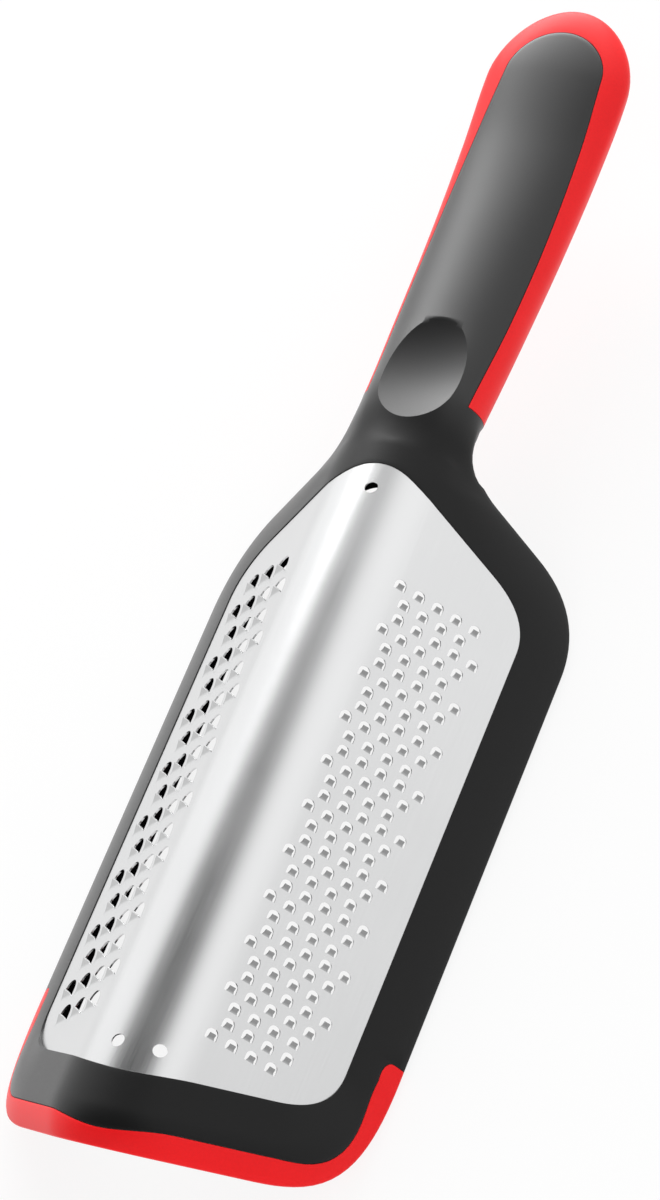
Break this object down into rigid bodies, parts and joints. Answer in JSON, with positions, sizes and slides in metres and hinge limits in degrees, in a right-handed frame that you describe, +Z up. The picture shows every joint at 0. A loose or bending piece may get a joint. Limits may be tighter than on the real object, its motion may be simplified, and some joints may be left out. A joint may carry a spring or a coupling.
{
  "type": "hand grater",
  "caption": "Two-sided hand grater: roof-shaped steel blade with coarse and fine teeth in a black frame with a long handle, a soft red grip and a soft red foot.",
  "frame": {"origin": "middle of the object's box in plan, on the surface that the two side rails rest on", "axes": "+Y from the front foot towards the tip of the handle, +Z up through the ridge of the blade, +X towards the fine face"},
  "size_m": [0.0798, 0.2812, 0.0364],
  "materials": {
    "blade_steel": "bright brushed stainless sheet",
    "hard_black": "fine matte moulded plastic",
    "soft_red": "matte soft-touch elastomer"
  },
  "bodies": {
    "root": {"grating_blade": "blade_steel", "upper_frame": "hard_black", "clamp_ring": "hard_black", "handle_grip": "soft_red", "front_foot": "soft_red"}
  },
  "joints": []
}
